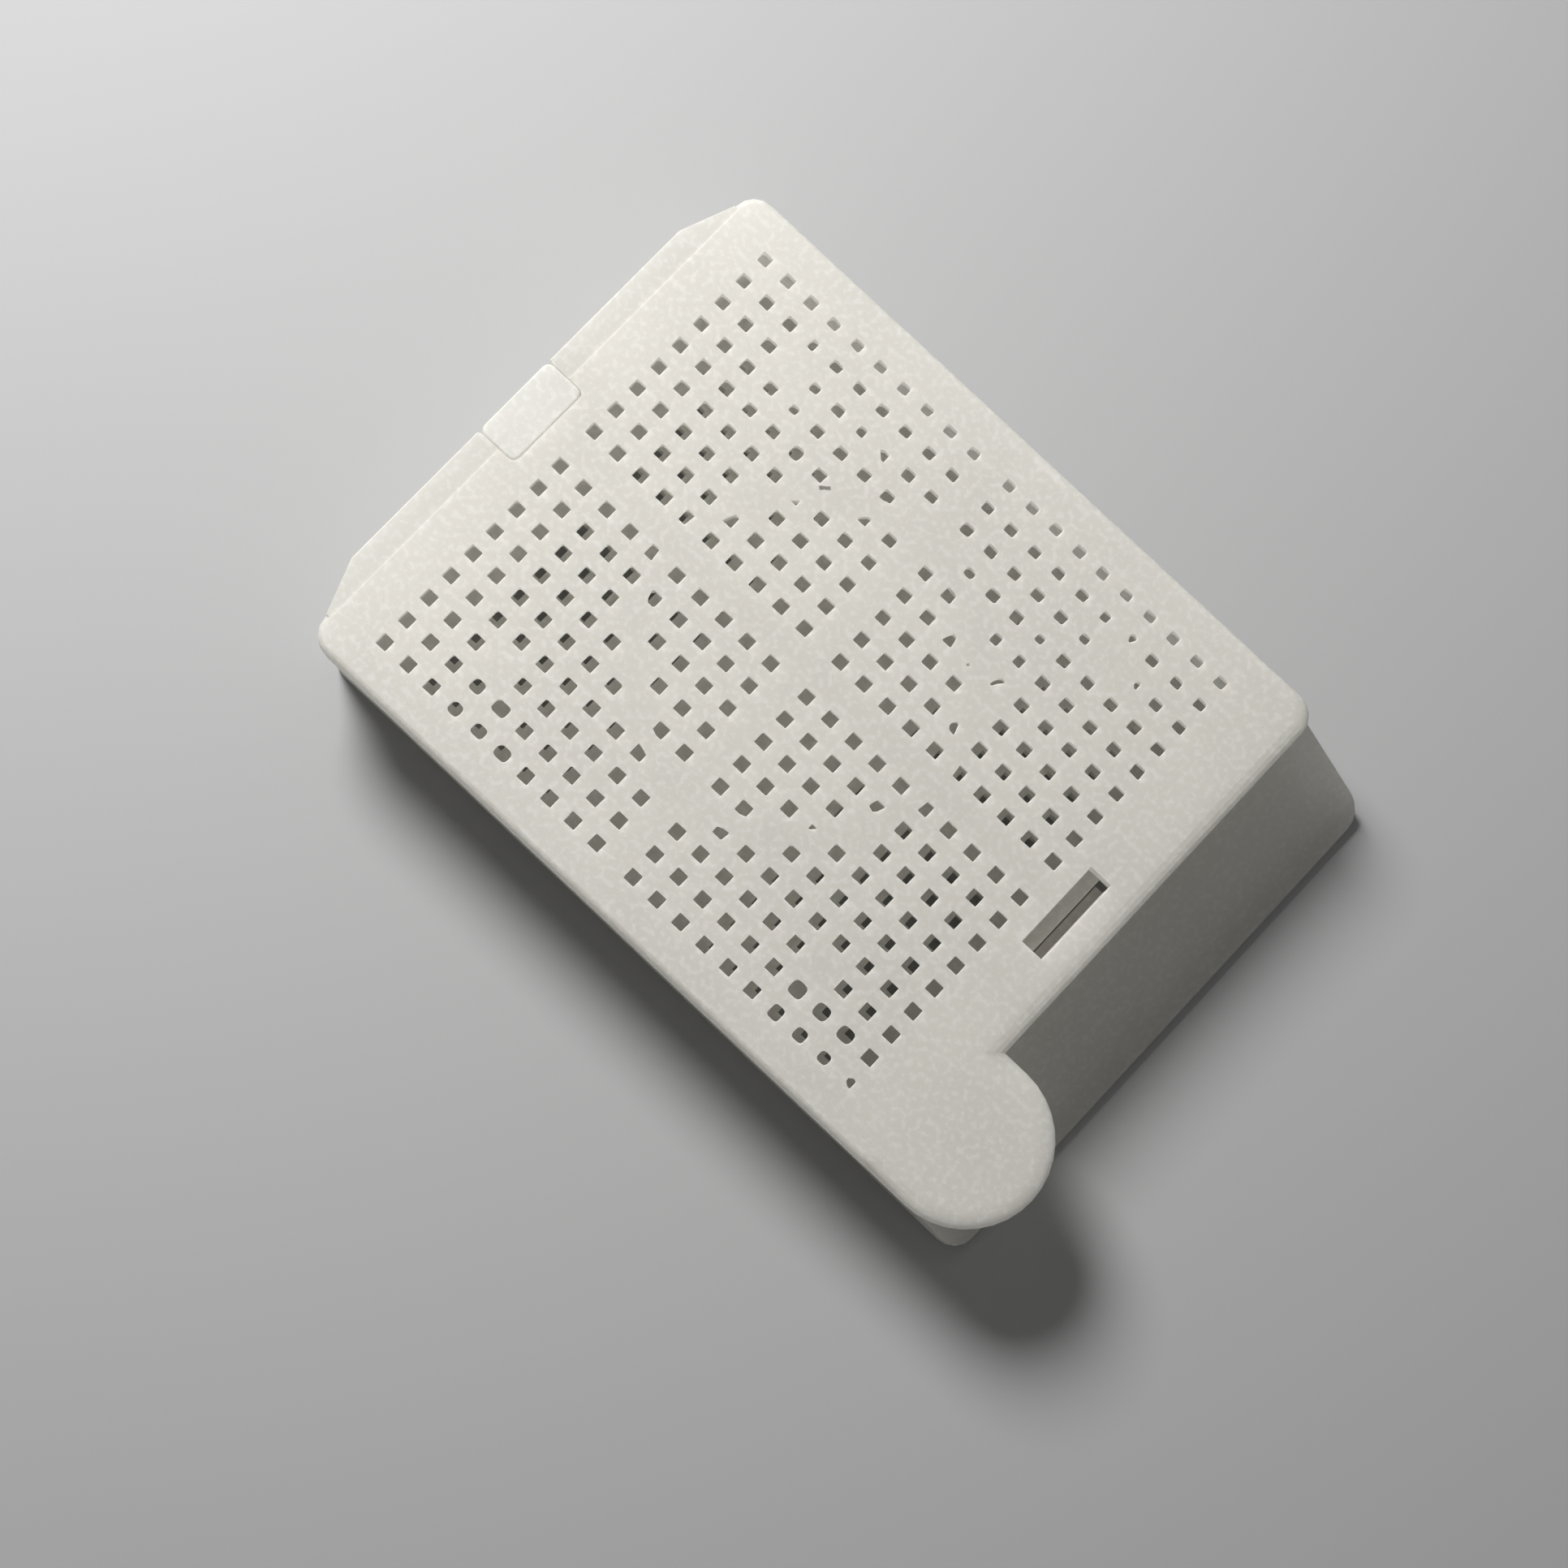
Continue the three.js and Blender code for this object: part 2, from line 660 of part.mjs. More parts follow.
/** Snap hook in front of the slot, with its barb pointing back under it. */
function latchHook() {
  const half = slotLength / 2 - hookSideGap;
  const tipX = frontWallX + barbGap;
  const catchZ = frontWallTop - catchDrop;
  const lowZ = catchZ - barbHeight;
  const profile = [
    [slotFrontX, plateMiddle],
    [slotFrontX, catchZ],
    [tipX, catchZ - barbRake],
    [tipX, catchZ - barbRake - barbNose],
    [hookFrontX - hookTipWidth, lowZ],
    [hookFrontX, lowZ],
    [hookFrontX, plateMiddle],
  ];
  return across(roundedOutline(profile), hingeOffset - half, hingeOffset + half);
}

function lidSolid() {
  const plate = cut(join(lidBlock(), rearStrip(), thumbTab()), lidPocket());
  const shell = cut(plate, lidPins(), hingeNotch(), latchSlot());
  return join(shell, ...lidRibs(), ...hingePegs(), latchHook());
}

// ---------------------------------------------------------------- scene

const acetal = { roughness: 0.55, metalness: 0 };
const baseMaterial = new THREE.MeshStandardMaterial({ color: 0xe6e3d9, ...acetal });
const lidMaterial = new THREE.MeshStandardMaterial({ color: 0xe9e6dc, ...acetal });

const base = new THREE.Mesh(toGeometry(baseSolid()), baseMaterial);
base.name = "base";

// The lid hangs in a group that stands on the hinge axis, so the group's turn opens it.
const lid = new THREE.Mesh(toGeometry(lidSolid()), lidMaterial);
lid.name = "lid";
lid.position.set(-axisX, 0, -axisZ);
const hinge = new THREE.Group();
hinge.position.set(axisX, 0, axisZ);
hinge.add(lid);

const cassette = new THREE.Group();
cassette.add(base, hinge);
cassette.position.x = -(stripRearX + tabTipX) / 2;

export default cassette;
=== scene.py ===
"""A tissue cassette: the looks of its two acetal mouldings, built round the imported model.

Metres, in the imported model's own frame: X runs from the hinge to the writing face, Y across,
and Z up from the surface that the cassette stands on. Outlines of openings are in
millimetres, with X from the middle of the hole pattern.
"""

import logging
import math
import random
from dataclasses import dataclass, field
from enum import Enum
from typing import Any, Iterator

import bmesh
import bpy
import numpy as np
from mathutils import Matrix, Vector


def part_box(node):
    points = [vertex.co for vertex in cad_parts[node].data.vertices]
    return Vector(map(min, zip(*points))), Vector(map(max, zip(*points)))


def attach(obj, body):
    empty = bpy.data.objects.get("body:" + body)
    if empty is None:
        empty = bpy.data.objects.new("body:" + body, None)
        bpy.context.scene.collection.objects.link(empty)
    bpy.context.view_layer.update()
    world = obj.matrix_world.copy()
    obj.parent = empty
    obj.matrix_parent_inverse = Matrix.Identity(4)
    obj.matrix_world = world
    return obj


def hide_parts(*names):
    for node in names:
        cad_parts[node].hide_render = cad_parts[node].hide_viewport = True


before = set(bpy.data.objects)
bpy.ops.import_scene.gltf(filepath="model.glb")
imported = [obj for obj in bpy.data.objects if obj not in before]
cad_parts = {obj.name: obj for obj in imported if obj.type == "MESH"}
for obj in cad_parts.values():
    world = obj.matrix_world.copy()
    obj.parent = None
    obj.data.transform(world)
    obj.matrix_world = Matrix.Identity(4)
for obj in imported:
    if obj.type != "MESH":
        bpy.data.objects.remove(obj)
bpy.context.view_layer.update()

LOG = logging.getLogger("cassette")
MM = 0.001
PATTERN_INSET = 17.6 * MM  # from the lid's rear edge to the middle of the hole pattern
PAINTED_SHADE_EDGE = -16.55 * MM  # from there to where the painted shade is full: it covers the strip along the rear edge

Triple = tuple[float, float, float]
Colour = Triple
Point = tuple[float, float]
Layer = tuple[float, list[Point]]
Key = tuple[int, int, int, int]

MIX_FIRST, MIX_SECOND, MIX_RESULT = 6, 7, 2  # a Mix node's sockets for colours
BLACK: Colour = (0.0, 0.0, 0.0)
SKIN = 0.0005  # millimetres that a rim's last layer stands past the surface
PAST = 0.5  # millimetres that a pin reaches past its plate
EDGE_ROOM = 0.48  # share of an edge that one round corner may take
STRAIGHT = 1.5  # half of a corner's angle, in radians, from which it counts as straight
LEAST_SPREAD = 0.6  # keeps an outline that grows from running far out at a sharp corner


# ---------------------------------------------------------------- shader graphs


class Tone:
    """A number inside a node tree that adds Math nodes when it is used in an expression."""

    def __init__(self, graph: "Graph", socket: bpy.types.NodeSocket) -> None:
        """Wraps one output socket of a graph."""
        self.graph = graph
        self.socket = socket

    def __add__(self, other: "Tone | float") -> "Tone":
        """self + other"""
        return self.graph.maths("ADD", self, other)

    def __radd__(self, other: float) -> "Tone":
        """other + self"""
        return self.graph.maths("ADD", other, self)

    def __sub__(self, other: "Tone | float") -> "Tone":
        """self - other"""
        return self.graph.maths("SUBTRACT", self, other)

    def __rsub__(self, other: float) -> "Tone":
        """other - self"""
        return self.graph.maths("SUBTRACT", other, self)

    def __mul__(self, other: "Tone | float") -> "Tone":
        """self * other"""
        return self.graph.maths("MULTIPLY", self, other)

    def __rmul__(self, other: float) -> "Tone":
        """other * self"""
        return self.graph.maths("MULTIPLY", other, self)

    def __abs__(self) -> "Tone":
        """abs(self)"""
        return self.graph.maths("ABSOLUTE", self, 0.0)

    def rise(self, low: float, high: float) -> "Tone":
        """Climbs smoothly from 0 at low to 1 at high.

        Args:
            low: The value that gives 0.
            high: The value that gives 1. It may be the smaller one, for a fall.

        Returns:
            The eased value, between 0 and 1.
        """
        settings = {"interpolation_type": "SMOOTHSTEP"}
        values = {"Value": self, "From Min": low, "From Max": high}
        return self.graph.tone("ShaderNodeMapRange", settings, values, "Result")


class Graph:
    """Builds the node tree of one material."""

    def __init__(self, tree: bpy.types.NodeTree) -> None:
        """Starts from an empty tree."""
        self.tree = tree
        tree.nodes.clear()

    def node(self, kind: str, settings: dict[str, Any],
             values: dict[str | int, Any]) -> bpy.types.Node:
        """Adds a node of any type.

        Args:
            kind: The node's type.
            settings: The node's own properties, which are set first.
            values: What goes into each socket, by its name, or by its number where names are
                alike: a number, a colour, a Tone or a socket.

        Returns:
            The new node.
        """
        made = self.tree.nodes.new(kind)
        for name, setting in settings.items():
            setattr(made, name, setting)
        for key, value in values.items():
            self.feed(made.inputs[key], value)
        return made

    def feed(self, socket: bpy.types.NodeSocket, value: Any) -> None:
        """Links a socket, or sets its value where the value is plain.

        Args:
            socket: The socket to feed.
            value: A number, a colour, a Tone or a socket.
        """
        source = value.socket if isinstance(value, Tone) else value
        if isinstance(source, bpy.types.NodeSocket):
            self.tree.links.new(source, socket)
        elif isinstance(source, tuple) and len(source) == 3 and socket.type == "RGBA":
            socket.default_value = (*source, 1.0)
        else:
            socket.default_value = source

    def tone(self, kind: str, settings: dict[str, Any], values: dict[str | int, Any],
             out: str) -> Tone:
        """Adds a node and wraps one of its outputs."""
        return Tone(self, self.node(kind, settings, values).outputs[out])

    def maths(self, operation: str, first: Tone | float, second: Tone | float) -> Tone:
        """Adds one Math node."""
        values = {0: first, 1: second}
        return self.tone("ShaderNodeMath", {"operation": operation}, values, "Value")

    def place(self) -> bpy.types.NodeSocket:
        """The point on the piece, in the piece's own coordinates."""
        return self.node("ShaderNodeTexCoord", {}, {}).outputs["Object"]

    def stretched(self, point: bpy.types.NodeSocket, scale: Triple) -> bpy.types.NodeSocket:
        """The point with each of its coordinates scaled."""
        made = self.node("ShaderNodeVectorMath", {"operation": "MULTIPLY"}, {0: point, 1: scale})
        return made.outputs["Vector"]

    def noise(self, point: bpy.types.NodeSocket, size: float, detail: float = 2.0) -> Tone:
        """Cloudy noise with features of about this size in metres."""
        values = {"Vector": point, "Scale": 1.0 / size, "Detail": detail}
        return self.tone("ShaderNodeTexNoise", {}, values, "Fac")

    def blend(self, factor: Tone, first: Any, second: Any) -> bpy.types.NodeSocket:
        """Mixes two colours."""
        values = {"Factor": factor, MIX_FIRST: first, MIX_SECOND: second}
        return self.node("ShaderNodeMix", {"data_type": "RGBA"}, values).outputs[MIX_RESULT]

    def mixed(self, factor: Tone | float, first: bpy.types.NodeSocket,
              second: bpy.types.NodeSocket) -> bpy.types.NodeSocket:
        """Mixes two shaders."""
        values = {"Fac": factor, 1: first, 2: second}
        return self.node("ShaderNodeMixShader", {}, values).outputs["Shader"]


# ---------------------------------------------------------------- outlines and solids


def clipped(points: list[Point], direction: Point, limit: float) -> list[Point]:
    """Keeps the part of an outline that lies no further than a limit along a direction.

    Args:
        points: The outline.
        direction: A unit vector.
        limit: The greatest distance along it that is kept.

    Returns:
        The part that is left.
    """
    kept = []
    for index, point in enumerate(points):
        before = points[index - 1]
        ahead = limit - point[0] * direction[0] - point[1] * direction[1]
        behind = limit - before[0] * direction[0] - before[1] * direction[1]
        if (ahead < 0) != (behind < 0):
            share = behind / (behind - ahead)
            kept.append(tuple(b + (p - b) * share for p, b in zip(point, before)))
        if ahead >= 0:
            kept.append(point)
    return kept


def filleted(points: list[Point], radius: float, steps: int = 3) -> list[Point]:
    """Rounds the corners of an outline.

    Args:
        points: The outline, anticlockwise.
        radius: The corner radius, limited by the edges beside each corner.
        steps: Pieces that each round corner is drawn with.

    Returns:
        The rounded outline.
    """
    rounded = []
    for index, point in enumerate(points):
        corner = Vector(point)
        to_before = Vector(points[index - 1]) - corner
        to_after = Vector(points[(index + 1) % len(points)]) - corner
        room = min(to_before.length, to_after.length) * EDGE_ROOM
        to_before.normalize()
        to_after.normalize()
        half = math.acos(max(-1.0, min(1.0, to_before.dot(to_after)))) / 2
        reach = min(radius / math.tan(half), room) if half < STRAIGHT else 0.0
        if reach <= 0.0:
            rounded.append(point)
            continue
        start, end = corner + to_before * reach, corner + to_after * reach
        for step in range(steps + 1):
            t = step / steps
            bend = start * (1 - t) ** 2 + corner * (2 * t * (1 - t)) + end * t ** 2
            rounded.append((bend.x, bend.y))
    return rounded


def divided(points: list[Point], spacing: float) -> list[Point]:
    """Adds points to an outline's long edges.

    Args:
        points: The outline.
        spacing: The greatest length that an edge keeps.

    Returns:
        The outline with its edges divided.
    """
    finer = []
    for index, point in enumerate(points):
        after = points[(index + 1) % len(points)]
        pieces = max(1, math.ceil(math.dist(point, after) / spacing))
        for piece in range(pieces):
            t = piece / pieces
            finer.append(tuple(a + (b - a) * t for a, b in zip(point, after)))
    return finer


def grown(points: list[Point], distance: float) -> list[Point]:
    """Moves every point of an outline outwards.

    Args:
        points: The outline, anticlockwise.
        distance: How far its edges move. A negative distance moves them inwards.

    Returns:
        The outline with its points moved.
    """
    moved = []
    for index, point in enumerate(points):
        before = Vector(point) - Vector(points[index - 1])
        after = Vector(points[(index + 1) % len(points)]) - Vector(point)
        outward = Vector((before.y, -before.x)).normalized()
        outward += Vector((after.y, -after.x)).normalized()
        outward = outward.normalized() / max(outward.length / 2, LEAST_SPREAD)
        moved.append((point[0] + outward.x * distance, point[1] + outward.y * distance))
    return moved


class Face(Enum):
    """Which face of a plate a hole's rim lies on."""

    TOP = 1
    UNDER = -1


def round_rim(outline: list[Point], surface: float, radius: float, face: Face,
              steps: int = 3) -> list[Layer]:
    """Layers of a pin where it leaves a plate, so that the hole's rim is round.

    Args:
        outline: The hole, anticlockwise.
        surface: Height of that face, in millimetres.
        radius: Radius of the rim.
        face: The plate's top or its underside.
        steps: Pieces that the rim is drawn with.

    Returns:
        The layers, from inside the plate outwards.
    """
    layers = []
    for step in range(steps + 1):
        turn = math.pi / 2 * step / steps
        depth = radius * (1 - math.sin(turn)) if step < steps else -SKIN
        spread = radius * (1 - math.cos(turn))
        layers.append((surface - face.value * depth, grown(outline, spread)))
    layers.append((surface + face.value * PAST, layers[-1][1]))
    return layers


class Join(Enum):
    """What one solid does to another."""

    FILL = "UNION"
    CUT = "DIFFERENCE"


class Solid:
    """A closed mesh that other closed meshes fill or cut."""

    def __init__(self, name: str) -> None:
        """Starts as an empty object in the scene.

        Args:
            name: The object's name.
        """
        self.piece = bpy.data.objects.new(name, bpy.data.meshes.new(name))
        bpy.context.scene.collection.objects.link(self.piece)
        self.points: list[Triple] = []
        self.faces: list[tuple[int, ...]] = []

    def copy_node(self, node: str, weld: float) -> "Solid":
        """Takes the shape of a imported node.

        Args:
            node: The node's name.
            weld: Points no further apart than this become one.

        Returns:
            The solid itself.
        """
        shape = bmesh.new()
        shape.from_mesh(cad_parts[node].data)
        bmesh.ops.remove_doubles(shape, verts=shape.verts, dist=weld)
        shape.to_mesh(self.piece.data)
        shape.free()
        return self

    def stack(self, layers: list[Layer], centre_x: float) -> "Solid":
        """Adds a closed body skinned over a stack of outlines.

        Args:
            layers: Height and anticlockwise outline of each layer in millimetres, lowest first.
            centre_x: Where the outlines' own origin lies along X, in metres.

        Returns:
            The solid itself.
        """
        count = len(layers[0][1])
        start = len(self.points)
        for height, outline in layers:
            self.points += [(x * MM + centre_x, y * MM, height * MM) for x, y in outline]
        for layer in range(len(layers) - 1):
            low = start + layer * count
            for a in range(count):
                b = (a + 1) % count
                self.faces.append((low + a, low + b, low + count + b, low + count + a))
        top = start + (len(layers) - 1) * count
        self.faces.append(tuple(range(start + count - 1, start - 1, -1)))
        self.faces.append(tuple(range(top, top + count)))
        return self

    def finish(self) -> "Solid":
        """Turns the stacked bodies into the object's mesh."""
        self.piece.data.from_pydata(self.points, [], self.faces)
        return self

    def combine(self, join: Join, other: "Solid") -> None:
        """Fills or cuts this solid with another one, which is then gone.

        Args:
            join: Whether the other solid fills or cuts.
            other: The other solid.
        """
        modifier = self.piece.modifiers.new("combine", "BOOLEAN")
        modifier.operation = join.value
        modifier.solver = "MANIFOLD"
        modifier.object = other.piece
        graph = bpy.context.evaluated_depsgraph_get()
        mesh = bpy.data.meshes.new_from_object(self.piece.evaluated_get(graph))
        self.piece.modifiers.clear()
        self.piece.data = mesh
        bpy.data.objects.remove(other.piece)


# ---------------------------------------------------------------- hole pattern


@dataclass(frozen=True)
class Hole:
    """One hole: its outline, how round its corners are, and how soft its upper rim is."""

    outline: tuple[Point, ...]
    corner: float
    lip: float


@dataclass(frozen=True)
class HolePattern:
    """Four quarters of small square holes about a blank cross, in millimetres."""

    side: float = 0.6
    pitch_x: float = 1.423
    pitch_y: float = 1.379
    middle_gap_x: float = 2.165
    middle_gap_y: float = 2.186
    columns: int = 10
    rows: int = 9
    ejector: tuple[int, int] = (6, 6)
    ring_radius: float = 7.75
    ring_width: float = 0.8
    flash_width: float = 0.011
    flash_height: float = 0.02
    spared_column: int = 7
    spared_share: float = 0.4
    # The lid's holes: each value with no flash, and what every row of flash adds to it
    unrest: Point = (0.008, 0.003)
    corner: Point = (0.05, 0.007)
    lip: Point = (0.012, 0.004)
    broken_corner: float = 0.06
    # The tray's floor holes
    floor_shift: Point = (0.27, -0.45)
    floor_unrest: float = 0.01
    floor_corner: float = 0.05
    floor_lip: float = 0.03
    seed: int = 11

    def places(self) -> Iterator[tuple[int, int, int, int, float, float]]:
        """Goes through the places that may have a hole.

        Yields:
            End, side, column and row of each place, and its X and Y.
        """
        for end in (-1, 1):
            for side in (-1, 1):
                for column in range(self.columns):
                    for row in range(self.rows):
                        x = end * (self.middle_gap_x / 2 + column * self.pitch_x)
                        y = side * (self.middle_gap_y / 2 + row * self.pitch_y)
                        if (column, row) != self.ejector:
                            yield end, side, column, row, x, y

    def is_on_ring(self, x: float, y: float) -> bool:
        """Whether a hole here would be blocked by the ring under the lid."""
        return abs(math.hypot(x, y) - self.ring_radius) < self.ring_width / 2

    def beside_ring(self, corners: list[Point], x: float, y: float) -> list[Point]:
        """Takes off what the ring covers of a hole.

        Args:
            corners: The hole, anticlockwise.
            x: Middle of the hole along X.
            y: Middle of the hole along Y.

        Returns:
            What is left of the hole.
        """
        distance = math.hypot(x, y)
        away = (x / distance, y / distance)
        half = self.ring_width / 2
        if distance < self.ring_radius:
            return clipped(corners, away, self.ring_radius - half)
        return clipped(corners, (-away[0], -away[1]), -self.ring_radius - half)

    def square(self, x: float, y: float, width: float, height: float, unrest: float,
               chance: random.Random) -> list[Point]:
        """Corners of one nearly square hole.

        Args:
            x: Middle of the hole along X.
            y: Middle of the hole along Y.
            width: Size along X.
            height: Size along Y.
            unrest: How far a corner may be off its place.
            chance: Source of the corners' errors.

        Returns:
            The corners, anticlockwise.
        """
        corners = []
        for a, b in ((-1, -1), (1, -1), (1, 1), (-1, 1)):
            off_x, off_y = chance.uniform(-unrest, unrest), chance.uniform(-unrest, unrest)
            corners.append((x + a * width / 2 + off_x, y + b * height / 2 + off_y))
        return corners

    def lid_holes(self) -> list[Hole]:
        """Lays out the lid's holes.

        Returns:
            The holes, each one a little different from the next.
        """
        chance = random.Random(self.seed)
        holes = []
        for end, side, column, row, x, y in self.places():
            key = (end, side, column, row)
            flash = row if side > 0 else 0
            if end < 0 and column >= self.spared_column:
                flash *= self.spared_share
            unrest = self.unrest[0] + self.unrest[1] * flash
            width = self.side - self.flash_width * flash
            height = self.side - self.flash_height * flash
            corner = self.corner[0] + self.corner[1] * flash
            if key in UNEVEN:
                width, height, corner = UNEVEN[key]
            corners = self.square(x, y, width, height, unrest, chance)
            if key in BROKEN:
                corners, corner = list(BROKEN[key]), self.broken_corner
            elif self.is_on_ring(x, y):
                continue
            else:
                corners = self.beside_ring(corners, x, y)
            lip = self.lip[0] + self.lip[1] * flash
            holes.append(Hole(tuple(corners), corner, lip))
        return holes

    def floor_holes(self) -> list[Hole]:
        """Lays out the holes of the tray's floor.

        Returns:
            The holes, which stand a little off the lid's.
        """
        chance = random.Random(self.seed + 1)
        holes = []
        for _, _, column, row, x, y in self.places():
            if column == self.columns - 1 or row == self.rows - 1 or self.is_on_ring(x, y):
                continue
            x, y = x + self.floor_shift[0], y + self.floor_shift[1]
            corners = self.square(x, y, self.side, self.side, self.floor_unrest, chance)
            holes.append(Hole(tuple(corners), self.floor_corner, self.floor_lip))
        return holes


# Holes that bent pins left uneven: width, height and corner radius by end, side, column, row
UNEVEN: dict[Key, Triple] = {
    (-1, -1, 5, 7): (0.77, 0.62, 0.2), (-1, -1, 6, 7): (0.62, 0.62, 0.2),
    (-1, -1, 4, 8): (0.74, 0.6, 0.24), (-1, -1, 5, 8): (0.68, 0.56, 0.2),
    (-1, -1, 6, 8): (0.62, 0.6, 0.24), (1, -1, 6, 7): (0.74, 0.73, 0.26),
    (1, -1, 7, 7): (0.74, 0.69, 0.26), (1, -1, 8, 7): (0.75, 0.66, 0.26),
    (1, -1, 6, 8): (0.6, 0.67, 0.18), (1, -1, 7, 8): (0.6, 0.6, 0.2),
    (1, -1, 8, 8): (0.55, 0.52, 0.2), (1, 1, 4, 5): (0.42, 0.36, 0.12),
    (1, 1, 5, 6): (0.43, 0.41, 0.12), (1, 1, 5, 7): (0.42, 0.44, 0.1),
    (1, 1, 1, 5): (0.47, 0.43, 0.18), (-1, 1, 3, 6): (0.39, 0.42, 0.1),
    (-1, 1, 5, 5): (0.42, 0.4, 0.12), (-1, 1, 6, 7): (0.36, 0.48, 0.12),
    (-1, 1, 5, 6): (0.48, 0.44, 0.12), (1, 1, 2, 5): (0.57, 0.52, 0.12),
    (1, 1, 0, 6): (0.56, 0.52, 0.14), (1, 1, 3, 4): (0.42, 0.5, 0.1),
    (1, 1, 4, 4): (0.4, 0.53, 0.08), (-1, 1, 4, 4): (0.56, 0.58, 0.2),
}

# Holes that broken pins left part closed: outline by end, side, column, row
BROKEN: dict[Key, tuple[Point, ...]] = {
    (1, 1, 3, 3): ((5.17, 4.88), (5.26, 4.84), (5.33, 4.91), (5.29, 4.99), (5.2, 4.98)),
    (1, 1, 4, 3): ((6.52, 4.96), (6.62, 4.93), (6.75, 5.17), (6.97, 5.43), (6.93, 5.5),
                   (6.79, 5.51), (6.66, 5.38), (6.56, 5.15)),
    (1, 1, 4, 1): ((6.48, 2.36), (6.6, 2.2), (6.93, 2.15), (6.75, 2.66), (6.64, 2.71),
                   (6.5, 2.52)),
    (1, 1, 6, 7): ((9.66, 10.65), (9.75, 10.65), (9.86, 10.84), (9.89, 10.99), (9.72, 11.05),
                   (9.57, 11.0), (9.59, 10.82)),
    (1, 1, 7, 6): ((11.17, 9.38), (11.28, 9.25), (11.38, 9.26), (11.37, 9.62), (11.26, 9.61),
                   (11.16, 9.5)),
    (1, 1, 2, 3): ((3.64, 4.93), (4.16, 4.93), (4.12, 5.2), (4.04, 5.45), (3.85, 5.47),
                   (3.72, 5.2)),
    (1, -1, 3, 3): ((5.12, -5.34), (5.3, -5.17), (5.43, -5.03), (5.11, -5.03)),
    (1, -1, 4, 1): ((6.37, -2.73), (6.5, -2.76), (6.64, -2.81), (6.78, -2.7), (6.94, -2.27),
                    (6.47, -2.27), (6.37, -2.6)),
    (1, -1, 1, 5): ((2.19, -8.3), (2.72, -8.31), (2.78, -7.83), (2.45, -7.86), (2.19, -7.97)),
    (1, -1, 9, 8): ((13.86, -12.2), (14.05, -12.33), (14.18, -12.33), (14.18, -11.92),
                    (13.99, -11.9), (13.82, -12.03)),
    (-1, 1, 3, 3): ((-5.52, 4.86), (-5.15, 4.85), (-5.15, 5.18)),
    (-1, 1, 2, 6): ((-4.2, 9.36), (-4.06, 9.22), (-3.86, 9.03), (-3.71, 9.0), (-3.72, 9.42),
                    (-4.0, 9.45)),
    (-1, 1, 1, 4): ((-2.79, 6.3), (-2.3, 6.3), (-2.32, 6.74), (-2.5, 6.71), (-2.7, 6.5)),
    (-1, 1, 4, 1): ((-7.05, 2.1), (-6.53, 2.1), (-6.54, 2.7), (-6.8, 2.71), (-6.92, 2.42)),
    (-1, -1, 4, 1): ((-7.07, -2.4), (-6.98, -2.7), (-6.86, -2.87), (-6.56, -2.87),
                     (-6.5, -2.78), (-6.5, -2.27), (-7.07, -2.27)),
}


# ---------------------------------------------------------------- mouldings


